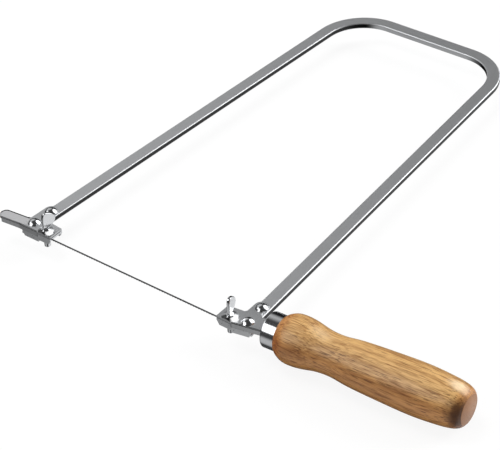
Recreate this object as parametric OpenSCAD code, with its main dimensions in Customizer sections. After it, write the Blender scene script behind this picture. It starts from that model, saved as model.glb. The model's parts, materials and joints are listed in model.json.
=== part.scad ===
// Fret saw: a flat steel bow, two stamped clamp plates riveted to its arms, wing screws that
// draw up the folded lower jaws, a fine blade, and a turned handle on the rear plate's tang.
// Origin: middle of the back bar's top face. The blade runs along X, the arms along Y, +Z up.

/* [Blade] */
// Overall length of the blade
blade_len = 130; // [115:1:150]
// Width of the blade over the teeth
blade_w = 1.0; // [0.7:0.05:1.4]
// Thickness of the blade
blade_t = 0.4; // [0.25:0.05:0.6]
// Distance from tooth tip to tooth tip
tooth_pitch = 1.7; // [1:0.1:3]
// Depth of a tooth
tooth_h = 0.3; // [0.15:0.05:0.4]
// Length of blade held in each clamp
blade_grip = 8.85; // [6:0.05:10]
// Distance of the blade from the upper rivets
blade_drop = 17.1; // [16.5:0.1:18]

/* [Bow] */
// Width of the flat bar
bar_w = 7.6; // [6.4:0.1:8.4]
// Thickness of the flat bar
bar_t = 3.3; // [2.8:0.1:4]
// Rounding of the bar's long edges
bar_edge = 0.5; // [0.3:0.1:0.8]
// Depth from the upper rivets to the outside of the back bar
bow_depth = 263.9; // [150:1:320]
// Outer radius of the two corners
corner_r = 32.3; // [15:0.1:45]
// Outward lean of each arm, in degrees
splay = 3.4; // [1:0.1:5]

/* [Rivets] */
// Diameter of the rivet shanks
rivet_d = 3; // [2:0.1:3.4]
// Diameter of the domed rivet heads
rivet_head_d = 7; // [5:0.1:7.4]
// Height of the domed rivet heads
rivet_head_h = 1.9; // [1:0.1:2.4]
// Height of the closing heads underneath
rivet_tail_h = 1; // [0.6:0.1:1.6]
// Diameter of the closing heads
rivet_tail_d = 5.4; // [4.6:0.1:6]
// Distance between the two rivets of a plate
rivet_gap = 12.4; // [11.5:0.1:13]
// Bar left beyond the lower rivet
arm_end = 2.1; // [1.8:0.1:2.2]

/* [Clamp plates] */
// Thickness of the plates
plate_t = 1; // [0.8:0.1:1.4]
// Depth of the folded front edge, from the top of the plate
fold_h = 3.3; // [2:0.1:3.8]
// Diameter of the rounded ear round the upper rivet
ear_d = 8; // [7.4:0.1:9]
// Distance from the upper front rivet to the front clamp's mouth
front_mouth = 15.1; // [13:0.1:16]
// Distance from the upper rear rivet to the rear clamp's mouth
rear_mouth = 15.1; // [13:0.1:16]
// Length of the front tongue beyond the upper rivet
tongue_len = 22.3; // [16:0.1:30]
// Width of the front tongue
tongue_w = 6.9; // [5:0.1:7.5]
// How far the tongue's tip leans towards the teeth
tongue_lean = 1.1; // [0:0.1:2]
// Height of the pressed seat under each wing screw
seat_h = 0.9; // [0.4:0.1:1.2]
// Diameter of the pressed seat
seat_d = 8.6; // [7:0.1:9]
// Depth of the plates at the mouths, from the front edge to the back
mouth_depth = 9.4; // [8.6:0.1:10]

/* [Jaws] */
// Thickness of the jaw's web and foot
jaw_t = 1.2; // [0.9:0.1:1.5]
// Thickness of the jaw's folded walls
wall_t = 0.9; // [0.7:0.1:1.1]
// Depth of the jaw's lower wall under the bar's top
jaw_drop = 5.6; // [5.3:0.1:7]
// Depth of the jaw's walls at the mouth
nose_drop = 4.3; // [3.4:0.1:5.2]
// How far the nose slants back from its tip
nose_slant = 1.6; // [0.5:0.1:2.5]
// How far a jaw opens
jaw_open = 1.2; // [0.6:0.1:1.6]

/* [Wing screws] */
// Thread diameter
screw_d = 3.4; // [3:0.1:3.5]
// Screw length below the plate's underside
screw_len = 8.8; // [7:0.1:11]
// Width of the wing
wing_w = 8; // [6.5:0.1:9]
// Height of the wing
wing_h = 9.8; // [8:0.1:13]
// Thickness of the wing
wing_t = 1.7; // [1.2:0.1:2.2]
// Diameter of the collar under the wing
collar_d = 4.8; // [4.4:0.1:6]
// Height of the collar
collar_h = 0.6; // [0.4:0.1:1.5]
// Direction of the front wing seen from above, in degrees
front_wing_turn = 75; // [0:1:180]
// Direction of the rear wing seen from above, in degrees
rear_wing_turn = 105; // [0:1:180]

/* [Handle] */
// Length of the ferrule
ferrule_len = 9; // [7:0.1:14]
// Outer diameter of the ferrule
ferrule_d = 19; // [17:0.1:20]
// Wall of the ferrule
ferrule_wall = 0.7; // [0.5:0.1:1]
// Length of the wooden grip behind the ferrule
grip_len = 103; // [85:1:130]
// Largest diameter of the grip
grip_d = 26.2; // [24:0.1:32]
// Length of the tang inside the handle
tang_len = 48; // [30:1:60]
// Width of the tang
tang_w = 5; // [4:0.1:6]

/* [Hidden] */
$fn = 64;

// Clearances, and one overrun for every cut
fit_gap = 0.05;
run_gap = 0.3;
over = 1;

// Places of the upper rivets: the blade sets how far apart the arms' ends are
front = -1;
rear = 1;
rivet_x = (blade_len - 2 * blade_grip + front_mouth + rear_mouth) / 2;
rivet_y = -(bow_depth - bar_w / 2);
blade_y = rivet_y - blade_drop;
bend_r = corner_r - bar_w / 2;
// Corner centre, found so that the arm's middle line meets the arc and the upper rivet
corner_x = rivet_x - (bend_r + sin(splay) * (-rivet_y - bend_r)) / cos(splay);
arm_run = sin(splay) * (rivet_x - corner_x) + cos(splay) * (-rivet_y - bend_r);
arm_tail = rivet_gap + arm_end;

// Clamp places, measured from the upper rivets
mouth_front_x = -rivet_x + front_mouth;
mouth_rear_x = rivet_x - rear_mouth;
front_edge = blade_drop + blade_w / 2;
screw_behind_blade = 0.8;
screw_drop = blade_drop - blade_w / 2 - screw_behind_blade - screw_d / 2;
screw_in = 9.2;
// The front edge is folded down from here on, clear of the blade's held end
fold_in = screw_in - screw_d;

// The blade lies right under the plate, and the jaw's web right under the blade
web_top = -blade_t;
web_bottom = web_top - jaw_t;
fold_bottom = plate_t - fold_h;
foot_top = -bar_t - fit_gap;
foot_bottom = foot_top - jaw_t;
wing_base = plate_t + seat_h + collar_h;

// Handle's axis, in the rear arm's own frame
axis_v = -8.6;
axis_z = -2;
ferrule_u = 10.3;
grip_u = ferrule_u + ferrule_len;
lip = 0.9;

// Point of the world, given from the upper rivet, in the frame of its leaning arm
function to_arm(side, x, y) = [
    x * cos(splay) + side * y * sin(splay),
    y * cos(splay) - side * x * sin(splay)];
function arc(c, r, from, to, steps) = [for (i = [0:steps])
    let (a = from + (to - from) * i / steps) [c[0] + r * cos(a), c[1] + r * sin(a)]];
// Smooth curve through a list of points: Catmull-Rom, cut into short straight steps
function smooth_at(p, i, f) = let (
    a = p[max(i - 1, 0)], b = p[i], c = p[i + 1], d = p[min(i + 2, len(p) - 1)])
    (2 * b + (c - a) * f + (2 * a - 5 * b + 4 * c - d) * f * f
        + (3 * b - a - 3 * c + d) * f * f * f) / 2;
function smooth(p, steps) = [
    for (i = [0:len(p) - 2]) for (k = [0:steps - 1]) smooth_at(p, i, k / steps), p[len(p) - 1]];

module in_arm(side) {
    translate([side * rivet_x, rivet_y, 0]) rotate([0, 0, side * splay]) children();
}

// Bow

bar_sharp_x = bar_w / 2 - bar_edge;
bar_sharp_z = bar_t / 2 - bar_edge;
bar_section = [for (q = [0:3])
    let (sx = (q == 0 || q == 3) ? 1 : -1, sz = q < 2 ? 1 : -1)
    each arc([sx * bar_sharp_x, sz * bar_sharp_z], bar_edge, 90 * q, 90 * q + 90, 3)];

// Straight bar from the origin along +Y, its top at z = 0
module bar(length) {
    translate([0, 0, -bar_t / 2]) rotate([-90, 0, 0]) linear_extrude(length) polygon(bar_section);
}

module front_corner() {
    translate([-corner_x, -bend_r, -bar_t / 2]) rotate([0, 0, 90])
        rotate_extrude(angle = 90 - splay, $fn = 128) translate([bend_r, 0]) polygon(bar_section);
}

module rivet_hole(v) {
    translate([0, v, -bar_t - over]) cylinder(d = rivet_d + 2 * fit_gap, h = bar_t + plate_t + 2 * over);
}

module bow() color("#8f9194") {
    for (flip = [0, 1]) mirror([flip, 0, 0]) {
        translate([-corner_x, 0, 0]) rotate([0, 0, -90]) bar(corner_x);
        front_corner();
        in_arm(front) difference() {
            translate([0, -arm_tail, 0]) bar(arm_tail + arm_run);
            for (v = [0, -rivet_gap]) rivet_hole(v);
        }
    }
}

// Rivets: a dome above the plate, a shank, and a closing head under the bar or the jaw's foot

rivet_tail_chamfer = 0.8;
module rivet(drop) {
    dome_r = (pow(rivet_head_d / 2, 2) + pow(rivet_head_h, 2)) / (2 * rivet_head_h);
    color("#b9bbbd") {
        translate([0, 0, plate_t]) intersection() {
            translate([0, 0, rivet_head_h - dome_r]) sphere(dome_r);
            cylinder(d = rivet_head_d, h = rivet_head_h);
        }
        translate([0, 0, -drop]) cylinder(d = rivet_d, h = drop + plate_t);
        translate([0, 0, -drop - rivet_tail_h]) cylinder(d1 = rivet_tail_d - 2 * rivet_tail_chamfer,
            d2 = rivet_tail_d, h = rivet_tail_h);
    }
}
lower_rivet_drop = -foot_bottom + jaw_open + fit_gap;
module front_upper_rivet() { in_arm(front) rivet(bar_t); }
module rear_upper_rivet() { in_arm(rear) rivet(bar_t); }
module front_lower_rivet() { in_arm(front) translate([0, -rivet_gap, 0]) rivet(lower_rivet_drop); }
module rear_lower_rivet() { in_arm(rear) translate([0, -rivet_gap, 0]) rivet(lower_rivet_drop); }

// Clamp plates: flat outline, front edge folded down, a pressed seat round the screw

ear_off = -0.6;
ear_rise = 0.6;
ear_left = ear_off - ear_d / 2;
// The ear stops short of the bar's outer edge, so that a strip of the bar shows beside it
bare_strip = 1.4;
ear_right = bar_w / 2 - bare_strip;
ear_turn = acos((ear_right - ear_off) / (ear_d / 2));
ear_arc = arc([ear_off, ear_rise], ear_d / 2, ear_turn, 180, 14);
valley_v = -rivet_gap / 2;
edge_soft = 0.7;
valley_run = 7;

// Outline of the rear plate in its arm's frame, with the tang that runs into the handle
rear_nose = to_arm(rear, -rear_mouth, -front_edge);
rear_nose_back = to_arm(rear, -rear_mouth, -front_edge + mouth_depth);
rear_fold_from = to_arm(rear, -fold_in, -front_edge);
heel_v = axis_v - ferrule_d / 3;
rear_heel = [ferrule_u, heel_v];
tang_end = ferrule_u + tang_len;
tang_low = axis_v - tang_w / 2;
tang_high = axis_v + tang_w / 2;
rear_outline = concat([
    rear_nose,
    rear_fold_from,
    rear_heel,
    [ferrule_u, tang_low],
    [tang_end - tang_w / 2, tang_low],
    [tang_end, axis_v],
    [tang_end - tang_w / 2, tang_high],
    [bar_w / 2 + edge_soft, tang_high],
    [ear_right, tang_high + ear_d / 4]],
    ear_arc, [
    [ear_left - edge_soft / 2, valley_v + edge_soft],
    [ear_left - 2 * edge_soft, valley_v - edge_soft / 2],
    [ear_left - valley_run, valley_v - edge_soft]],
    [rear_nose_back]);

// Outline of the front plate: its tongue, where the bow is pressed against the bench, runs
// out nearly in line with the blade
front_nose = to_arm(front, front_mouth, -front_edge);
front_nose_back = to_arm(front, front_mouth, -front_edge + mouth_depth);
front_fold_from = to_arm(front, fold_in, -front_edge);
tongue_root = 7;
tongue_r = tongue_w / 2 - edge_soft / 2;
tip_y = -front_edge - tongue_lean;
function tongue_arc(y, from) = [for (p = arc([-tongue_len + tongue_r, y], tongue_r, from, from + 90, 6))
    to_arm(front, p[0], p[1])];
front_outline = concat(
    [front_nose],
    [front_nose_back],
    [to_arm(front, tongue_root, valley_v - 2 * edge_soft)],
    [[ear_right, valley_v + edge_soft]],
    ear_arc,
    [[ear_left, -rivet_gap + tongue_w / 3]],
    [to_arm(front, -tongue_root, -front_edge + tongue_w)],
    tongue_arc(tip_y + tongue_w - tongue_r, 90),
    tongue_arc(tip_y + tongue_r, 180),
    [to_arm(front, -tongue_root, -front_edge)]);

// Upright wall along a line from one point to another, cut from a profile of run and height
module upright(from, to, wall, profile) {
    run = to - from;
    translate([from[0], from[1], 0]) rotate([0, 0, atan2(run[1], run[0])]) rotate([90, 0, 0])
        translate([0, 0, -wall]) linear_extrude(wall) polygon(profile);
}
module folded_edge(from, to) {
    reach = norm(to - from);
    upright(from, to, plate_t, [[0, plate_t], [0, fold_bottom], [reach, fold_bottom], [reach, plate_t]]);
}
// Rounds the outer edge of such a fold
fold_r_share = 0.8;
module fold_round(from, to) {
    run = to - from;
    r = plate_t * fold_r_share;
    translate([from[0], from[1], plate_t]) rotate([0, 0, atan2(run[1], run[0])])
        rotate([90, 0, 90]) linear_extrude(norm(run))
            difference() {
                translate([-over, -r]) square([r + over, r + over]);
                translate([r, -r]) circle(r, $fn = 32);
            }
}

module at_seat(side, x) {
    at = to_arm(side, x, -screw_drop);
    translate([at[0], at[1], 0]) children();
}
// The fold runs through the given points, from left to right
module plate_body(side, outline, folds, screw_x) {
    difference() {
        union() {
            linear_extrude(plate_t) polygon(outline);
            for (i = [1:len(folds) - 1]) folded_edge(folds[i - 1], folds[i]);
            intersection() {
                at_seat(side, screw_x) translate([0, 0, plate_t])
                    cylinder(d1 = seat_d, d2 = collar_d, h = seat_h);
                linear_extrude(plate_t + seat_h) polygon(outline);
            }
        }
        for (i = [1:len(folds) - 1]) fold_round(folds[i - 1], folds[i]);
        at_seat(side, screw_x) translate([0, 0, -over])
            cylinder(d = screw_d + 4 * fit_gap, h = plate_t + seat_h + 2 * over);
        for (v = [0, -rivet_gap]) rivet_hole(v);
    }
}
module front_plate() color("#7d8084") in_arm(front)
    plate_body(front, front_outline, [to_arm(front, -tongue_len + tongue_r, tip_y),
        to_arm(front, -tongue_root, -front_edge), front_fold_from], screw_in);
module rear_plate() color("#6f7276") in_arm(rear)
    plate_body(rear, rear_outline, [rear_fold_from, rear_heel], -screw_in);

// Jaws: a channel pressing with a web under the blade and walls folded down in front and
// behind. Its lower wall carries on below the plate's fold to a foot under the bar, whose hole
// slides on the lower rivet. Both jaws are drawn for the rear arm; the front one is mirrored.

foot_lap = 0.5;
foot_half = bar_w / 2 + foot_lap;
foot_rim = 2.5;
foot_back = rivet_d / 2 + foot_rim;
web_u = -bar_w / 2 - run_gap;
inner_gap = plate_t + run_gap / 2;
neck_wall = 0.8;
neck_d = screw_d + 2 * neck_wall;
neck_h = screw_d - neck_wall;

module jaw_shape(mouth, heel) {
    nose = to_arm(rear, -mouth, -front_edge);
    back = to_arm(rear, -mouth, -front_edge + mouth_depth);
    fold = to_arm(rear, -fold_in, -front_edge);
    slope = (heel[1] - fold[1]) / (heel[0] - fold[0]);
    // Just clear of the end of the plate's fold
    seat = fold - [run_gap, slope * run_gap];
    foot_end = [foot_half, fold[1] + slope * (foot_half - fold[0])];
    foot_start = [-foot_half, fold[1] + slope * (-foot_half - fold[0])];
    inner = seat + [0, inner_gap];
    inner_end = [web_u, fold[1] + slope * (web_u - fold[0]) + inner_gap];
    nose_run = norm(seat - nose);
    foot_run = norm(foot_end - seat);
    step_run = norm(foot_start - seat);
    inner_run = norm(inner_end - inner);
    back_end = [web_u, back[1] + wall_t];
    back_run = norm(back_end - back);
    wall_top = fold_bottom - fit_gap;
    difference() {
        union() {
            translate([0, 0, web_bottom]) linear_extrude(jaw_t)
                polygon([nose, seat, inner, inner_end, back_end, back]);
            // Front wall at the mouth, its tip slanting back
            upright(nose, seat, wall_t, [[0, web_top], [0, web_bottom], [nose_slant, -nose_drop],
                [nose_run, -nose_drop], [nose_run, web_top]]);
            // Lower wall under the plate's fold, joined to the web by a step and an inner wall
            upright(seat, foot_end, wall_t, [[0, wall_top], [0, -jaw_drop],
                [foot_run - nose_slant, -jaw_drop], [foot_run, wall_top]]);
            upright(seat, foot_start, inner_gap + wall_t, [[0, wall_top], [0, -jaw_drop],
                [step_run, -jaw_drop], [step_run, wall_top]]);
            upright(inner, inner_end, wall_t, [[0, web_top], [0, -jaw_drop],
                [inner_run, -jaw_drop], [inner_run, web_top]]);
            // Back wall
            upright(back - [0, wall_t], back_end - [0, wall_t], wall_t, [[0, web_top], [0, web_bottom],
                [nose_slant, -nose_drop], [back_run, -nose_drop], [back_run, web_top]]);
            // Foot under the bar
            translate([0, 0, foot_bottom]) linear_extrude(jaw_t) polygon([foot_start, foot_end,
                [foot_half, -rivet_gap + foot_back], [-foot_half, -rivet_gap + foot_back]]);
            at_seat(rear, -screw_in) translate([0, 0, web_bottom - neck_h])
                cylinder(d = neck_d, h = neck_h);
        }
        at_seat(rear, -screw_in) translate([0, 0, -jaw_drop - over])
            cylinder(d = screw_d + 2 * fit_gap, h = jaw_drop + over);
        translate([0, -rivet_gap, -jaw_drop - over]) cylinder(d = rivet_d + 2 * fit_gap, h = jaw_drop);
    }
}
module front_jaw() color("#5f6266") in_arm(front) mirror([1, 0, 0])
    jaw_shape(front_mouth, to_arm(rear, tongue_root, -front_edge));
module rear_jaw() color("#5f6266") in_arm(rear) jaw_shape(rear_mouth, rear_heel);

// Wing screws: a stud with a collar, and a one-sided thumb wing on its end

collar_slope = 0.4;
module screw() {
    color("#a9abae") {
        translate([0, 0, -screw_len]) cylinder(d = screw_d, h = screw_len + plate_t + seat_h);
        translate([0, 0, plate_t + seat_h])
            cylinder(d1 = collar_d, d2 = collar_d - 2 * collar_slope, h = collar_h);
    }
}
wing_shares = [[0.2, 0], [0.4, 0.08], [0.6, 0.18], [0.74, 0.32], [0.79, 0.47], [0.72, 0.64],
    [0.54, 0.82], [0.28, 0.95], [0.04, 1], [-0.12, 0.9], [-0.19, 0.66], [-0.21, 0.33], [-0.2, 0]];
module wing(turn) {
    color("#c9cbcd") translate([0, 0, wing_base]) rotate([0, 0, turn]) rotate([90, 0, 0])
        translate([0, 0, -wing_t / 2]) linear_extrude(wing_t)
            polygon([for (p = smooth(wing_shares, 4)) [p[0] * wing_w, p[1] * wing_h]]);
}
module at_screw(side, x) {
    translate([side * rivet_x + x, rivet_y - screw_drop, 0]) children();
}
module front_screw() { at_screw(front, screw_in) screw(); }
module rear_screw() { at_screw(rear, -screw_in) screw(); }
module front_wing() { at_screw(front, screw_in) wing(front_wing_turn); }
module rear_wing() { at_screw(rear, -screw_in) wing(rear_wing_turn); }

// Blade, with a saw-tooth edge that points towards the handle

tooth_shares = [0.45, 0.5];
module blade() {
    x0 = mouth_front_x - blade_grip;
    teeth_from = mouth_front_x + tooth_pitch;
    count = floor((mouth_rear_x - mouth_front_x - 2 * tooth_pitch) / tooth_pitch);
    front_y = blade_y - blade_w / 2;
    root_y = front_y + tooth_h;
    back_y = blade_y + blade_w / 2;
    color("#3c3e41") translate([0, 0, -blade_t]) linear_extrude(blade_t) polygon(concat(
        [[x0, root_y]],
        [for (i = [0:count - 1]) let (x = teeth_from + i * tooth_pitch)
            each [[x, root_y], [x + tooth_pitch * tooth_shares[0], front_y],
                [x + tooth_pitch * tooth_shares[1], root_y]]],
        [[x0 + blade_len, root_y], [x0 + blade_len, back_y], [x0, back_y]]));
}

// Ferrule and handle, turned about the handle's axis

module on_axis(u) {
    in_arm(rear) translate([u, axis_v, axis_z]) rotate([0, 90, 0]) children();
}
module ferrule() color("#d5d7d9") {
    outer = ferrule_d / 2;
    inner = outer - ferrule_wall;
    inner_end = ferrule_len - fit_gap;
    on_axis(ferrule_u + fit_gap) rotate_extrude($fn = 96) polygon(concat(
        [[inner - lip, 0]],
        arc([inner, ferrule_wall], ferrule_wall, -90, 0, 4),
        [[outer, inner_end], [inner, inner_end], [inner, ferrule_wall], [inner - lip, ferrule_wall]]));
}

grip_shares = [[0, 0.77], [0.016, 0.88], [0.05, 0.99], [0.09, 1], [0.14, 0.955], [0.22, 0.835],
    [0.3, 0.812], [0.4, 0.9], [0.55, 0.96], [0.74, 1], [0.88, 0.94], [0.96, 0.845], [0.992, 0.79]];
module handle() {
    spigot_r = ferrule_d / 2 - ferrule_wall - fit_gap;
    spigot_end = -ferrule_len + ferrule_wall + 2 * fit_gap;
    grip = [for (p = smooth(grip_shares, 4)) [p[1] * grip_d / 2, p[0] * grip_len]];
    color("#d9a25f") difference() {
        on_axis(grip_u) rotate_extrude($fn = 96) polygon(concat(
            [[0, spigot_end], [spigot_r, spigot_end], [spigot_r, 0]],
            grip,
            [[grip[len(grip) - 1][0] - edge_soft, grip_len], [0, grip_len]]));
        // Slot burned in by the tang
        in_arm(rear) translate([ferrule_u, axis_v - tang_w / 2 - fit_gap, -fit_gap])
            cube([tang_len + fit_gap, tang_w + 2 * fit_gap, plate_t + 2 * fit_gap]);
    }
}

bow();
front_plate();
rear_plate();
front_upper_rivet();
front_lower_rivet();
rear_upper_rivet();
rear_lower_rivet();
front_jaw();
rear_jaw();
front_screw();
front_wing();
rear_screw();
rear_wing();
blade();
ferrule();
handle();
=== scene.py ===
import json
import math
import bmesh
import bpy
from mathutils import Matrix, Vector


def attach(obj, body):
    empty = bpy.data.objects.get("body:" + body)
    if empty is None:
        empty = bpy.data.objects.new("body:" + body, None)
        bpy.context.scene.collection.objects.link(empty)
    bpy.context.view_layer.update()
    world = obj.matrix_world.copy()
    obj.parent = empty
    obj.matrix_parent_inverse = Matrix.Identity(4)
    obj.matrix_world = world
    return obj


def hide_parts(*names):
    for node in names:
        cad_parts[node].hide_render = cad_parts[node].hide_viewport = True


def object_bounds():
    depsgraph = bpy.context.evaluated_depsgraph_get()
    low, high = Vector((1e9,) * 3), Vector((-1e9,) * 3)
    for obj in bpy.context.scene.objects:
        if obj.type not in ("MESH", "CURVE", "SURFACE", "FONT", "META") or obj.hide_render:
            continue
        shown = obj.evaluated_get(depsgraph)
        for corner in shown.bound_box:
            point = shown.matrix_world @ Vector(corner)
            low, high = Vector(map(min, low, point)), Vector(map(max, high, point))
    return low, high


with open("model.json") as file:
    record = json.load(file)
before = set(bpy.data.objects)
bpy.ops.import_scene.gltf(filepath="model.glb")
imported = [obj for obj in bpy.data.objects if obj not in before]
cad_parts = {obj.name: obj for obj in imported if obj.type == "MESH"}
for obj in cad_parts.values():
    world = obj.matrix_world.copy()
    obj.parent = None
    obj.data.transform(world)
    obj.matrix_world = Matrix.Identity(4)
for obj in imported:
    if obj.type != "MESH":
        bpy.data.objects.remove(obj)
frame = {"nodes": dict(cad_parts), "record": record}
cadBox = [list(corner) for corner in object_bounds()]
print("frame loaded", len(frame["nodes"]), "nodes")

# Camera: fitted to the bow's edges in the photograph, in millimetres of the part's frame
photoCamera = {
    "place": (531.42, -821.54, 603.14),
    "right": (0.79093, 0.61022, -0.04529),
    "up": (-0.34072, 0.50069, 0.79575),
    "forward": (-0.50826, 0.61396, -0.60392),
    "focalPixels": 1890.8,
    "photoWidth": 500,
    "sensorWidth": 36,
    "nearest": 0.01,
}


def makeCamera():
    cameraData = bpy.data.cameras.new("photo_camera")
    cameraData.sensor_fit = "HORIZONTAL"
    cameraData.sensor_width = photoCamera["sensorWidth"]
    cameraData.lens = photoCamera["focalPixels"] / photoCamera["photoWidth"] * photoCamera["sensorWidth"]
    cameraData.clip_start = photoCamera["nearest"]
    cameraObject = bpy.data.objects.new("photo_camera", cameraData)
    bpy.context.collection.objects.link(cameraObject)
    axes = [Vector(photoCamera["right"]), Vector(photoCamera["up"]), -Vector(photoCamera["forward"])]
    turn = Matrix([[axes[c][r] for c in range(3)] for r in range(3)]).to_4x4()
    cameraObject.matrix_world = Matrix.Translation(Vector(photoCamera["place"]) / 1000) @ turn
    bpy.context.scene.camera = cameraObject
    bpy.context.scene.view_settings.view_transform = "Standard"


makeCamera()
print("camera placed")


# Helpers for node trees
def addNode(tree, kind, **values):
    made = tree.nodes.new(kind)
    for name, value in values.items():
        setattr(made, name, value)
    return made


def feed(tree, value, socket):
    # Another node's output is linked, anything else is set
    if isinstance(value, bpy.types.NodeSocket):
        tree.links.new(value, socket)
    else:
        socket.default_value = value


def mixColours(tree, factor, first, second, blend="MIX"):
    made = addNode(tree, "ShaderNodeMix", data_type="RGBA", blend_type=blend)
    for place, value in ((0, factor), (6, first), (7, second)):
        feed(tree, value, made.inputs[place])
    return made.outputs[2]


def mixShaders(tree, factor, first, second):
    made = addNode(tree, "ShaderNodeMixShader")
    for socket, value in zip(made.inputs, (factor, first, second)):
        tree.links.new(value, socket)
    return made.outputs[0]


def mathNode(tree, operation, first, second=None, third=None, clamp=False):
    made = addNode(tree, "ShaderNodeMath", operation=operation, use_clamp=clamp)
    for socket, value in zip(made.inputs, (first, second, third)):
        if value is not None:
            feed(tree, value, socket)
    return made.outputs[0]


def vectorNode(tree, operation, first, second=None):
    made = addNode(tree, "ShaderNodeVectorMath", operation=operation)
    feed(tree, first, made.inputs[0])
    if second is not None:
        feed(tree, second, made.inputs["Scale" if operation == "SCALE" else 1])
    return made.outputs["Value" if operation in ("DOT_PRODUCT", "LENGTH") else "Vector"]


def splitVector(tree, vector):
    made = addNode(tree, "ShaderNodeSeparateXYZ")
    tree.links.new(vector, made.inputs[0])
    return made.outputs


def spreadMap(tree, value, low, high, newLow=0.0, newHigh=1.0, smooth=True):
    made = addNode(tree, "ShaderNodeMapRange", interpolation_type="SMOOTHSTEP" if smooth else "LINEAR")
    for label, number in (("Value", value), ("From Min", low), ("From Max", high), ("To Min", newLow),
                          ("To Max", newHigh)):
        feed(tree, number, made.inputs[label])
    return made.outputs[0]


# Studio: the lamps and the floor aren't mirrored, so the metal mirrors only the sky's spots
studio = {
    "floorDrop": 0.0004,
    "floorHalf": 6.0,
    "floorColour": (0.86, 0.86, 0.86, 1),
    "floorShadow": 0.12,
    "aim": (0.0, -0.15, 0),
    "lamps": {
        "overhead": {"place": (-0.5, -0.3, 1.6), "size": (0.9, 0.9), "power": 14},
        "rightBack": {"place": (1.3, 1.2, 1.05), "size": (0.8, 0.8), "power": 22},
        "front": {"place": (0.4, -1.7, 1.2), "size": (1.0, 0.5), "power": 7},
    },
    "skySeen": (1, 1, 1, 1),
    "skyTint": (0.985, 0.99, 1, 1),
    "skyBase": 0.05,
    "skyLeast": 0.01,
    # Inner and outer are degrees away from the spot's middle
    "skySpots": [
        {"toward": (-0.75, 0.42, 0.52), "inner": 2, "outer": 34, "strength": 0.55},
        {"toward": (-0.45, 0.88, 0.15), "inner": 10, "outer": 40, "strength": -0.2},
        {"toward": (-0.41, -0.68, 0.61), "inner": 16, "outer": 24, "strength": 2.4},
        {"toward": (-0.74, -0.26, 0.62), "inner": 9, "outer": 17, "strength": 1.2},
        {"toward": (0.33, 0.76, 0.55), "inner": 22, "outer": 36, "strength": 2.4},
        {"toward": (-0.25, -0.74, -0.62), "inner": 12, "outer": 32, "strength": 0.42},
        {"toward": (0.6, 0.5, -0.6), "inner": 35, "outer": 60, "strength": 0.75},
    ],
}


def makeFloor():
    lowest = min(cadBox[0][2], cadBox[1][2]) - studio["floorDrop"]
    mesh = bpy.data.meshes.new("floor")
    shape = bmesh.new()
    bmesh.ops.create_grid(shape, x_segments=1, y_segments=1, size=studio["floorHalf"])
    bmesh.ops.translate(shape, verts=shape.verts, vec=(0, 0, lowest))
    shape.to_mesh(mesh)
    shape.free()
    floor = bpy.data.objects.new("floor", mesh)
    bpy.context.collection.objects.link(floor)
    material = bpy.data.materials.new("pale_floor")
    material.use_nodes = True
    tree = material.node_tree
    tree.nodes.clear()
    plain = addNode(tree, "ShaderNodeBsdfDiffuse")
    plain.inputs["Color"].default_value = studio["floorColour"]
    glow = addNode(tree, "ShaderNodeEmission")
    seen = mathNode(tree, "MULTIPLY", addNode(tree, "ShaderNodeLightPath").outputs["Is Camera Ray"],
                    1 - studio["floorShadow"])
    tree.links.new(mixShaders(tree, seen, plain.outputs[0], glow.outputs[0]),
                   addNode(tree, "ShaderNodeOutputMaterial").inputs["Surface"])
    mesh.materials.append(material)
    floor.visible_glossy = False


def makeLamp(name, values):
    data = bpy.data.lights.new(name, "AREA")
    data.shape = "RECTANGLE"
    data.size, data.size_y = values["size"]
    data.energy = values["power"]
    lamp = bpy.data.objects.new(name, data)
    lamp.visible_glossy = False
    bpy.context.collection.objects.link(lamp)
    place = Vector(values["place"])
    turn = (Vector(studio["aim"]) - place).to_track_quat("-Z", "Y")
    lamp.matrix_world = Matrix.Translation(place) @ turn.to_matrix().to_4x4()


def makeSky():
    world = bpy.data.worlds.new("studio")
    bpy.context.scene.world = world
    world.use_nodes = True
    tree = world.node_tree
    tree.nodes.clear()
    direction = addNode(tree, "ShaderNodeTexCoord").outputs["Generated"]
    strength = None
    for spot in studio["skySpots"]:
        facing = vectorNode(tree, "DOT_PRODUCT", direction, Vector(spot["toward"]).normalized())
        glow = spreadMap(tree, facing, math.cos(math.radians(spot["outer"])),
                         math.cos(math.radians(spot["inner"])), 0.0, spot["strength"])
        strength = glow if strength is None else mathNode(tree, "ADD", strength, glow)
    strength = mathNode(tree, "ADD", strength, studio["skyBase"])
    strength = mathNode(tree, "MAXIMUM", strength, studio["skyLeast"])
    sky = addNode(tree, "ShaderNodeBackground")
    sky.inputs["Color"].default_value = studio["skyTint"]
    tree.links.new(strength, sky.inputs["Strength"])
    # The camera itself sees plain white
    white = addNode(tree, "ShaderNodeBackground")
    white.inputs["Color"].default_value = studio["skySeen"]
    seen = addNode(tree, "ShaderNodeLightPath").outputs["Is Camera Ray"]
    tree.links.new(mixShaders(tree, seen, sky.outputs[0], white.outputs[0]),
                   addNode(tree, "ShaderNodeOutputWorld").inputs["Surface"])


makeFloor()
for lampName, lampValues in studio["lamps"].items():
    makeLamp(lampName, lampValues)
makeSky()
print("studio lit")


# Shared node groups, each with its settings above it
def makeGroup(name, inputs, outputs):
    group = bpy.data.node_groups.new(name, "ShaderNodeTree")
    for label, kind, value in inputs:
        made = group.interface.new_socket(label, in_out="INPUT", socket_type="NodeSocket" + kind)
        if value is not None:
            made.default_value = value
    for label, kind in outputs:
        group.interface.new_socket(label, in_out="OUTPUT", socket_type="NodeSocket" + kind)
    given = addNode(group, "NodeGroupInput").outputs
    result = addNode(group, "NodeGroupOutput").inputs
    return group, given, result


def placeGroup(tree, group, vector):
    made = addNode(tree, "ShaderNodeGroup", node_tree=group)
    tree.links.new(vector, made.inputs["Vector"])
    return made


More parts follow.
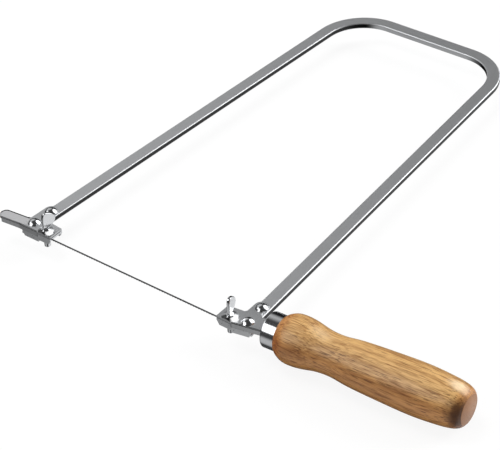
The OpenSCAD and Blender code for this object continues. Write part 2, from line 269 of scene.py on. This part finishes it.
def noiseAt(tree, vector, scale, detail=3.0, rough=0.5, distortion=0.0):
    made = addNode(tree, "ShaderNodeTexNoise")
    for label, value in (("Vector", vector), ("Scale", scale), ("Detail", detail), ("Roughness", rough),
                         ("Distortion", distortion)):
        feed(tree, value, made.inputs[label])
    return made.outputs["Fac"]


def grainAt(tree, vector, scale, **values):
    # Noise drawn out by its own scale along each axis
    mapping = addNode(tree, "ShaderNodeMapping")
    mapping.inputs["Scale"].default_value = scale
    tree.links.new(vector, mapping.inputs["Vector"])
    return noiseAt(tree, mapping.outputs[0], 1.0, **values)


def swing(tree, noise, amount, middle, clamp=False):
    # The noise's swing about its own mean, set about another middle
    offMean = mathNode(tree, "SUBTRACT", noise, 0.5)
    return mathNode(tree, "MULTIPLY_ADD", offMean, amount, middle, clamp=clamp)


# Plated steel: faint cloudy tone, rolling streaks and small pits, with painted shade on the upright sides
# and on the bends towards the teeth
plating = {
    "cloudScale": 60.0,
    "fine": {"scale": 900.0, "detail": 4.0, "rough": 0.6},
    "streaks": {"scale": (2600, 140, 2600), "detail": 3.0, "rough": 0.6},
    "pitScale": 700.0,
    "pitEdge": (0.12, 0.3),
    "pitsShown": (0.45, 0.6),
    "sideShadeUpright": (0.12, 0.3),
    "endFacing": (0.85, 0.98),
    "bendFacing": (-0.3, -0.12),
    "bendUpright": (0.15, 0.3),
    "bendShadeColour": (0.04, 0.04, 0.04, 1),
    "bumpDepth": 0.00008,
}


def makePlatedGroup():
    group, given, result = makeGroup("platedSteel", [
        ("Vector", "Vector", None), ("Colour", "Color", (0.6, 0.6, 0.6, 1)),
        ("Side Shade Colour", "Color", (0.05, 0.05, 0.05, 1)), ("Side Shade Share", "Float", 0.0),
        ("Spared Ends", "Float", 0.0), ("Cloud", "Float", 0.12), ("Streaks", "Float", 0.1),
        ("Pits", "Float", 0.2), ("Bend Shade", "Float", 0.0), ("Rough", "Float", 0.25),
        ("Rough Spread", "Float", 0.1)],
        [("Colour", "Color"), ("Roughness", "Float"), ("Height", "Float")])
    vector = given["Vector"]
    cloud = noiseAt(group, vector, plating["cloudScale"])
    fine = noiseAt(group, vector, **plating["fine"])
    streak = grainAt(group, vector, **plating["streaks"])
    pits = addNode(group, "ShaderNodeTexVoronoi")
    pits.inputs["Scale"].default_value = plating["pitScale"]
    group.links.new(vector, pits.inputs["Vector"])
    pitMask = spreadMap(group, pits.outputs["Distance"], *plating["pitEdge"], 1.0, 0.0)
    normal = splitVector(group, addNode(group, "ShaderNodeTexCoord").outputs["Normal"])
    upright = mathNode(group, "ABSOLUTE", normal["Z"])

    # Painted shade: upright sides take the darker colour, except faces that look along Y
    side = mathNode(group, "MULTIPLY", spreadMap(group, upright, *plating["sideShadeUpright"], 1.0, 0.0),
                    given["Side Shade Share"])
    endOn = spreadMap(group, mathNode(group, "ABSOLUTE", normal["Y"]), *plating["endFacing"])
    spared = mathNode(group, "MULTIPLY", endOn, given["Spared Ends"])
    side = mathNode(group, "MULTIPLY", side, mathNode(group, "SUBTRACT", 1.0, spared))
    colour = mixColours(group, side, given["Colour"], given["Side Shade Colour"])
    # Painted shade on the bends that face the teeth
    bend = mathNode(group, "MULTIPLY", spreadMap(group, upright, *plating["bendUpright"]), given["Bend Shade"])
    turned = spreadMap(group, normal["Y"], *plating["bendFacing"], 1.0, 0.0)
    bend = mathNode(group, "MULTIPLY", turned, bend)
    colour = mixColours(group, bend, colour, plating["bendShadeColour"])

    tone = swing(group, cloud, given["Cloud"], 1.0)
    tone = swing(group, streak, given["Streaks"], tone)
    pitTone = mathNode(group, "MULTIPLY", given["Pits"], spreadMap(group, fine, *plating["pitsShown"]))
    tone = mathNode(group, "SUBTRACT", tone, mathNode(group, "MULTIPLY", pitMask, pitTone))
    group.links.new(vectorNode(group, "SCALE", colour, tone), result["Colour"])

    rough = swing(group, fine, given["Rough Spread"], given["Rough"], clamp=True)
    group.links.new(rough, result["Roughness"])
    height = mathNode(group, "SUBTRACT", mathNode(group, "MULTIPLY", streak, given["Streaks"]),
                      mathNode(group, "MULTIPLY", pitMask, given["Pits"]))
    group.links.new(height, result["Height"])
    return group


# Turned wood: growth bands, long streaks and short dark pores that all run along the grip
grain = {
    "bands": {"scale": (9, 150, 110), "detail": 2.0, "rough": 0.5, "distortion": 0.8},
    "streaks": {"scale": (40, 780, 780), "detail": 3.0, "rough": 0.65},
    "fine": {"scale": (110, 1700, 1700), "detail": 2.0, "rough": 0.6},
    "pores": {"scale": (120, 2100, 2100), "detail": 1.0, "rough": 0.4},
    "patches": {"scale": (30, 60, 60), "detail": 2.0, "rough": 0.55},
    "bandEdge": (0.42, 0.62),
    "streakEdge": (0.45, 0.66),
    "poreEdge": (0.585, 0.66),
    "patchEdge": (0.4, 0.6),
    "leastPores": 0.3,
    "fineTone": 1.8,
    "fineHeight": 0.25,
    "roughSpan": (0.36, 0.5),
}


def makeWoodGroup():
    group, given, result = makeGroup("turnedWood", [
        ("Vector", "Vector", None), ("Pale", "Color", (0.6, 0.4, 0.2, 1)),
        ("Deep", "Color", (0.3, 0.15, 0.05, 1)), ("Pore", "Color", (0.1, 0.04, 0.01, 1)),
        ("Bands", "Float", 0.5), ("Streaks", "Float", 0.75), ("Pores", "Float", 0.7)],
        [("Colour", "Color"), ("Roughness", "Float"), ("Height", "Float")])
    bands, streaks, fine, pores, patches = (grainAt(group, given["Vector"], **grain[name]) for name in
                                            ("bands", "streaks", "fine", "pores", "patches"))
    band = mathNode(group, "MULTIPLY", spreadMap(group, bands, *grain["bandEdge"]), given["Bands"])
    streak = mathNode(group, "MULTIPLY", spreadMap(group, streaks, *grain["streakEdge"]), given["Streaks"])
    deep = swing(group, fine, grain["fineTone"], mathNode(group, "MAXIMUM", band, streak), clamp=True)
    colour = mixColours(group, deep, given["Pale"], given["Deep"])
    share = mathNode(group, "MULTIPLY", given["Pores"],
                     spreadMap(group, patches, *grain["patchEdge"], grain["leastPores"], 1.0))
    pore = mathNode(group, "MULTIPLY", spreadMap(group, pores, *grain["poreEdge"]), share)
    group.links.new(mixColours(group, pore, colour, given["Pore"]), result["Colour"])
    group.links.new(spreadMap(group, deep, 0.0, 1.0, *grain["roughSpan"]), result["Roughness"])
    height = mathNode(group, "SUBTRACT", mathNode(group, "MULTIPLY", fine, grain["fineHeight"]), pore)
    group.links.new(height, result["Height"])
    return group


# Patch about a centre, or along a run through it to both sides, where the surface differs: a stain,
# painted highlights and painted shade
patch = {
    "blurScale": 300.0,
    "leastRun": 1e-9,
}


def makePatchGroup():
    group, given, result = makeGroup("stainAndPaintedLightSpot", [
        ("Vector", "Vector", None), ("Centre", "Vector", None), ("Stretch", "Vector", (1, 1, 1)),
        ("Run", "Vector", (0, 0, 0)), ("Near", "Float", 0.001), ("Far", "Float", 0.002),
        ("Ragged", "Float", 0.0)],
        [("Mask", "Float")])
    fromCentre = vectorNode(group, "SUBTRACT", given["Vector"], given["Centre"])
    along = vectorNode(group, "DOT_PRODUCT", fromCentre, given["Run"])
    runSquared = vectorNode(group, "DOT_PRODUCT", given["Run"], given["Run"])
    share = mathNode(group, "DIVIDE", along, mathNode(group, "MAXIMUM", runSquared, patch["leastRun"]))
    share = mathNode(group, "MINIMUM", mathNode(group, "MAXIMUM", share, -1.0), 1.0)
    offRun = vectorNode(group, "SUBTRACT", fromCentre, vectorNode(group, "SCALE", given["Run"], share))
    away = vectorNode(group, "LENGTH", vectorNode(group, "MULTIPLY", offRun, given["Stretch"]))
    away = swing(group, noiseAt(group, given["Vector"], patch["blurScale"]), given["Ragged"], away)
    group.links.new(spreadMap(group, away, given["Near"], given["Far"], 1.0, 0.0), result["Mask"])
    return group


platedGroup = makePlatedGroup()
patchGroup = makePatchGroup()
woodGroup = makeWoodGroup()
print("node groups made")


def startMaterial(name):
    material = bpy.data.materials.new(name)
    material.use_nodes = True
    tree = material.node_tree
    place = addNode(tree, "ShaderNodeTexCoord").outputs["Object"]
    return material, tree, tree.nodes["Principled BSDF"], place


def addBump(tree, shader, height, strength, depth):
    bump = addNode(tree, "ShaderNodeBump")
    bump.inputs["Strength"].default_value = strength
    bump.inputs["Distance"].default_value = depth
    tree.links.new(height, bump.inputs["Height"])
    tree.links.new(bump.outputs[0], shader.inputs["Normal"])


def patchMask(tree, vector, spot):
    made = placeGroup(tree, patchGroup, vector)
    made.inputs["Centre"].default_value = spot["centre"]
    made.inputs["Stretch"].default_value = spot.get("stretch", (1, 1, 1))
    made.inputs["Run"].default_value = spot.get("run", (0, 0, 0))
    for label in ("Near", "Far", "Ragged"):
        made.inputs[label].default_value = spot.get(label, 0.0)
    return made.outputs["Mask"]


def platedMaterial(name, values):
    material, tree, shader, place = startMaterial(name)
    finish = placeGroup(tree, platedGroup, place)
    for label in ("Colour", "Side Shade Colour"):
        finish.inputs[label].default_value = (*values.get(label, values["Colour"]), 1)
    for label in ("Side Shade Share", "Spared Ends", "Bend Shade", "Cloud", "Streaks", "Pits", "Rough", "Rough Spread"):
        finish.inputs[label].default_value = values.get(label, 0.0)
    colour, rough, metal = finish.outputs["Colour"], finish.outputs["Roughness"], 1.0
    for spot in values.get("patches", []):
        mask = patchMask(tree, place, spot)
        colour = mixColours(tree, mask, colour, (*spot["colour"], 1))
        rough = spreadMap(tree, mask, 0.0, 1.0, rough, spot["rough"], smooth=False)
        metal = spreadMap(tree, mask, 0.0, 1.0, metal, spot["metal"], smooth=False)
    tree.links.new(colour, shader.inputs["Base Color"])
    tree.links.new(rough, shader.inputs["Roughness"])
    feed(tree, metal, shader.inputs["Metallic"])
    addBump(tree, shader, finish.outputs["Height"], values["bump"], plating["bumpDepth"])
    return material


def plateFinish(colour, seatHighlightCentre, others=()):
    # Both plates: a painted highlight beside the wing, matt white on the flank of the pressed boss
    seatHighlight = {"centre": seatHighlightCentre, "Near": 0.0015, "Far": 0.0026, "Ragged": 0.0008,
            "colour": (0.93, 0.93, 0.93), "rough": 0.5, "metal": 0.15}
    # Painted shade on the plates' upright sides and on their bends towards the teeth
    return {"Colour": colour, "Side Shade Colour": (0.3, 0.3, 0.3), "Side Shade Share": 0.4, "Bend Shade": 0.9, "Cloud": 0.25,
            "Streaks": 0.2, "Pits": 0.3, "Rough": 0.34, "Rough Spread": 0.15, "bump": 0.3,
            "patches": [seatHighlight, *others]}


# Tongue of the front plate: painted shade along its back edge and tip, and painted light making the face
# inside them paler. Places are the part's own
tongueRimShade = {"centre": (-0.0850, -0.2733, 0.001), "run": (0.0057, 0.00051, 0), "Near": 0.0028,
             "Far": 0.0036, "colour": (0.03, 0.03, 0.03), "rough": 0.5, "metal": 1.0}
# Painted light: the tongue's face made paler than the plate around it
tongueFaceLight = {"centre": (-0.08305, -0.27468, 0.001), "run": (0.00705, 0.000635, 0), "Near": 0.00255,
              "Far": 0.00285, "colour": (0.62, 0.62, 0.625), "rough": 0.4, "metal": 0.62}

steelFinishes = {
    # The bow's upright sides are painted nearly black: a painted dark reflection
    "bow": {"Colour": (0.84, 0.85, 0.86), "Side Shade Colour": (0.042, 0.042, 0.042), "Side Shade Share": 1.0,
            "Spared Ends": 1.0, "Cloud": 0.1, "Streaks": 0.06, "Pits": 0.05, "Rough": 0.36,
            "Rough Spread": 0.08, "bump": 0.15},
    "rearPlate": plateFinish((0.72, 0.73, 0.74), (0.0655, -0.2750, 0.0012)),
    "frontPlate": plateFinish((0.76, 0.77, 0.78), (-0.0590, -0.2750, 0.0012), (tongueRimShade, tongueFaceLight)),
    "jaw": {"Colour": (0.74, 0.75, 0.76), "Cloud": 0.4, "Streaks": 0.3, "Pits": 0.5, "Rough": 0.34,
            "Rough Spread": 0.2, "bump": 0.5},
    "bright": {"Colour": (0.8, 0.81, 0.82), "Cloud": 0.08, "Streaks": 0.05, "Pits": 0.05, "Rough": 0.16,
               "Rough Spread": 0.05, "bump": 0.1},
    "ferrule": {"Colour": (0.86, 0.87, 0.88), "Cloud": 0.05, "Streaks": 0.1, "Pits": 0.03, "Rough": 0.14,
                "Rough Spread": 0.05, "bump": 0.1},
    "blade": {"Colour": (0.2, 0.2, 0.205), "Side Shade Colour": (0.06, 0.06, 0.06), "Side Shade Share": 0.5, "Cloud": 0.3,
              "Streaks": 0.3, "Pits": 0.2, "Rough": 0.35, "Rough Spread": 0.1, "bump": 0.2},
}
steel = {name: platedMaterial(name + "_steel", values) for name, values in steelFinishes.items()}

nodeFinish = {"bow": "bow", "blade": "blade", "ferrule": "ferrule"}
for sideName in ("front", "rear"):
    nodeFinish[sideName + "_plate"] = sideName + "Plate"
    nodeFinish[sideName + "_jaw"] = "jaw"
    for pieceName in ("upper_rivet", "lower_rivet", "screw", "wing"):
        nodeFinish[sideName + "_" + pieceName] = "bright"
for nodeName, finishName in nodeFinish.items():
    slots = frame["nodes"][nodeName].data.materials
    if len(slots):
        for index in range(len(slots)):
            slots[index] = steel[finishName]
    else:
        slots.append(steel[finishName])
print("steel finished")


weldWithin = 1e-7  # metres


def finishPiece(name, shape, material, body):
    bmesh.ops.remove_doubles(shape, verts=shape.verts, dist=weldWithin)
    bmesh.ops.recalc_face_normals(shape, faces=shape.faces)
    mesh = bpy.data.meshes.new(name)
    shape.to_mesh(mesh)
    shape.free()
    mesh.materials.append(material)
    mesh.shade_smooth()
    piece = bpy.data.objects.new(name, mesh)
    bpy.context.collection.objects.link(piece)
    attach(piece, body)
    return piece


# Handle: its axis is read from the record's mounts, its sizes are in metres
mounts = {m["name"]: m for m in frame["record"]["mounts"]}
handleEnd = Vector(mounts["handle_end"]["pos_m"])
handleAxis = Vector(mounts["handle_end"]["axis"]).normalized()
handleTurn = math.atan2(handleAxis.y, handleAxis.x)

handle = {
    "length": 0.103,
    "neck": 0.008,
    "neckRadius": 0.00872,
    "largestRadius": 0.01308,
    # Place along the grip and radius, as shares of the length and of the largest radius. The rounded end
    # laps a millimetre over the ferrule, so that the wood starts where the photograph has it
    "shares": [(-0.0105, 0.748), (0.006, 0.86), (0.04, 0.975), (0.085, 1), (0.14, 0.955), (0.22, 0.835),
               (0.3, 0.812), (0.4, 0.9), (0.55, 0.96), (0.74, 1), (0.88, 0.94), (0.945, 0.87),
               (0.975, 0.79), (0.99, 0.705), (0.998, 0.615)],
    "stepsPerSpan": 4,
    "sides": 96,
    "edgeRound": 0.0003,
    "edgeShare": 0.3,
    "creaseOver": 38,
    "pale": (0.6, 0.36, 0.14),
    "deep": (0.24, 0.1, 0.026),
    "pore": (0.1, 0.037, 0.01),
    # Lower side, darker in the photograph: painted shade, darker and redder where the grip faces down
    "paintedShadeTint": (0.72, 0.56, 0.42, 1),
    "paintedShadeFacing": (0, -0.57, -0.82),
    "paintedShadeEdge": (-0.001, 0.005),
    "paintedShadeDrift": 0.003,
    "paintedShadeNoise": {"scale": 120.0, "detail": 2.0},
    # Both ends are warmer, where the wood turns: from and to, in metres from that end, and how much
    "endTint": (0.85, 0.6, 0.4, 1),
    "neckEnd": (0.001, 0.008, 0.9),
    "farEnd": (0.006, 0.001, 0.8),
    "disc": (0.3, 0.13, 0.045, 1),
    "discEdge": (0.0002, 0.0001, 0.85),
    "coat": 0.2,
    "coatRough": 0.16,
    "ior": 1.48,
    "bump": 0.35,
    "bumpDepth": 0.0001,
    # Darker patch beside the end disc, partly stain and partly painted shade on the rounding; then two
    # painted highlights, pale where the lacquer shines
    "patches": [
        {"centre": (0.1025, -0.0085, 0.002), "stretch": (1.1, 1, 0.75), "Near": 0.003, "Far": 0.0098,
         "Ragged": 0.005, "colour": (0.06, 0.024, 0.009), "share": 0.9},
        {"centre": (0.0968, 0.001, 0.0112), "stretch": (0.6, 1, 1), "Near": 0.0008, "Far": 0.005,
         "Ragged": 0.003, "colour": (0.9, 0.72, 0.48), "share": 0.55},
        {"centre": (0.022, -0.0005, 0.0112), "stretch": (0.5, 1, 1), "Near": 0.0005, "Far": 0.005,
         "Ragged": 0.003, "colour": (0.85, 0.64, 0.38), "share": 0.35},
    ],
}
handleStart = handleEnd - handleAxis * handle["length"]


def handleMaterial():
    material, tree, shader, place = startMaterial("lacquered_wood")
    mapping = addNode(tree, "ShaderNodeMapping", vector_type="TEXTURE")
    mapping.inputs["Location"].default_value = handleStart
    mapping.inputs["Rotation"].default_value = (0, 0, handleTurn)
    tree.links.new(place, mapping.inputs["Vector"])
    local = mapping.outputs[0]
    wood = placeGroup(tree, woodGroup, local)
    for label, key in (("Pale", "pale"), ("Deep", "deep"), ("Pore", "pore")):
        wood.inputs[label].default_value = (*handle[key], 1)
    # Painted shade on the lower side of the grip
    facing = vectorNode(tree, "DOT_PRODUCT", local, handle["paintedShadeFacing"])
    drift = mathNode(tree, "MULTIPLY_ADD", noiseAt(tree, local, **handle["paintedShadeNoise"]), handle["paintedShadeDrift"],
                     facing)
    colour = mixColours(tree, spreadMap(tree, drift, *handle["paintedShadeEdge"]), wood.outputs["Colour"],
                        handle["paintedShadeTint"], blend="MULTIPLY")

    along, length = splitVector(tree, local)["X"], handle["length"]
    nearFrom, nearTo, nearShare = handle["neckEnd"]
    farFrom, farTo, farShare = handle["farEnd"]
    ends = mathNode(tree, "MAXIMUM", spreadMap(tree, along, nearFrom, nearTo, nearShare, 0.0),
                    spreadMap(tree, along, length - farFrom, length - farTo, 0.0, farShare))
    colour = mixColours(tree, ends, colour, handle["endTint"], blend="MULTIPLY")
    for spot in handle["patches"]:
        mask = mathNode(tree, "MULTIPLY", patchMask(tree, local, spot), spot["share"])
        colour = mixColours(tree, mask, colour, (*spot["colour"], 1))
    discFrom, discTo, discShare = handle["discEdge"]
    disc = spreadMap(tree, along, length - discFrom, length - discTo, 0.0, discShare)
    tree.links.new(mixColours(tree, disc, colour, handle["disc"]), shader.inputs["Base Color"])
    tree.links.new(wood.outputs["Roughness"], shader.inputs["Roughness"])
    shader.inputs["Coat Weight"].default_value = handle["coat"]
    shader.inputs["Coat Roughness"].default_value = handle["coatRough"]
    shader.inputs["IOR"].default_value = handle["ior"]
    addBump(tree, shader, wood.outputs["Height"], handle["bump"], handle["bumpDepth"])
    return material


def smoothPoints(points, steps):
    # Curve through the points, whose slope at each is that between its two neighbours
    def between(a, b, c, d, f):
        return (2 * b + (c - a) * f + (2 * a - 5 * b + 4 * c - d) * f * f
                + (3 * b - a - 3 * c + d) * f ** 3) / 2

    made = []
    for i in range(len(points) - 1):
        four = (points[max(i - 1, 0)], points[i], points[i + 1], points[min(i + 2, len(points) - 1)])
        for k in range(steps):
            made.append(tuple(between(*values, k / steps) for values in zip(*four)))
    made.append(points[-1])
    return made


def makeHandle():
    length, cut = handle["length"], handle["edgeRound"]
    outline = [(-handle["neck"], handle["neckRadius"]),
               (handle["shares"][0][0] * length, handle["neckRadius"])]
    outline += [(t * length, r * handle["largestRadius"])
                for t, r in smoothPoints(handle["shares"], handle["stepsPerSpan"])]
    rim = outline[-1][1]
    outline += [(length - cut * handle["edgeShare"], rim - cut * handle["edgeShare"]), (length, rim - cut)]
    shape = bmesh.new()
    ring = bmesh.ops.create_circle(shape, cap_ends=True, segments=handle["sides"],
                                   radius=outline[0][1])["verts"]
    bmesh.ops.translate(shape, verts=ring, vec=(0, 0, outline[0][0]))
    loop = list({e for v in ring for e in v.link_edges})
    for (t0, r0), (t1, r1) in zip(outline, outline[1:]):
        grown = bmesh.ops.extrude_edge_only(shape, edges=loop)["geom"]
        ring = [g for g in grown if isinstance(g, bmesh.types.BMVert)]
        loop = [g for g in grown if isinstance(g, bmesh.types.BMEdge)]
        bmesh.ops.scale(shape, verts=ring, vec=(r1 / r0, r1 / r0, 1))
        bmesh.ops.translate(shape, verts=ring, vec=(0, 0, t1 - t0))
    bmesh.ops.edgeloop_fill(shape, edges=loop)
    place = (Matrix.Translation(handleStart) @ Matrix.Rotation(handleTurn, 4, "Z")
             @ Matrix.Rotation(math.radians(90), 4, "Y"))
    bmesh.ops.transform(shape, matrix=place, verts=shape.verts)
    piece = finishPiece("wooden_grip", shape, handleMaterial(), "saw")
    piece.data.set_sharp_from_angle(angle=math.radians(handle["creaseOver"]))
    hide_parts("handle")


makeHandle()
print("handle turned")

# Pressed and forged pieces with their edges broken, as a tumbled pressing has them
pressing = {
    "weld": 1e-6,
    "flatWithin": 1,  # degrees, as in the next two
    "brokenOver": 35,
    "creaseOver": 40,
    "broadFace": 5e-6,  # square metres
}
softEdges = {
    "plate": {"body": "saw", "width": 0.00028, "steps": 3, "slot": "plate_steel"},
    "jaw": {"body": "{}_lower_jaw", "width": 0.0002, "steps": 2, "slot": "jaw_steel"},
    "wing": {"body": "{}_wing_screw", "width": 0.0004, "steps": 4, "slot": "bright_steel"},
}


def softenNode(name, sideName, values):
    shape = bmesh.new()
    shape.from_mesh(frame["nodes"][name].data)
    bmesh.ops.remove_doubles(shape, verts=shape.verts, dist=pressing["weld"])
    bmesh.ops.dissolve_limit(shape, angle_limit=math.radians(pressing["flatWithin"]), verts=shape.verts,
                             edges=shape.edges)
    brokenOver = math.radians(pressing["brokenOver"])
    sharp = [e for e in shape.edges if e.is_manifold and e.calc_face_angle_signed(0) > brokenOver]
    bmesh.ops.bevel(shape, geom=sharp, offset=values["width"], offset_type="OFFSET",
                    segments=values["steps"], profile=0.5, affect="EDGES", clamp_overlap=True, material=-1)
    piece = finishPiece(name + "_pressed", shape, steel[nodeFinish[name]], values["body"].format(sideName))
    # The CAD's own normals no longer fit; broad flat faces keep one direction, so that they mirror evenly
    mesh = piece.data
    if "custom_normal" in mesh.attributes:
        mesh.attributes.remove(mesh.attributes["custom_normal"])
    mesh.set_sharp_from_angle(angle=math.radians(pressing["creaseOver"]))
    for polygon in mesh.polygons:
        polygon.use_smooth = polygon.area < pressing["broadFace"]
    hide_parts(name)


for kindName, kindValues in softEdges.items():
    for sideName in ("front", "rear"):
        softenNode(sideName + "_" + kindName, sideName, kindValues)
print("pressings softened")
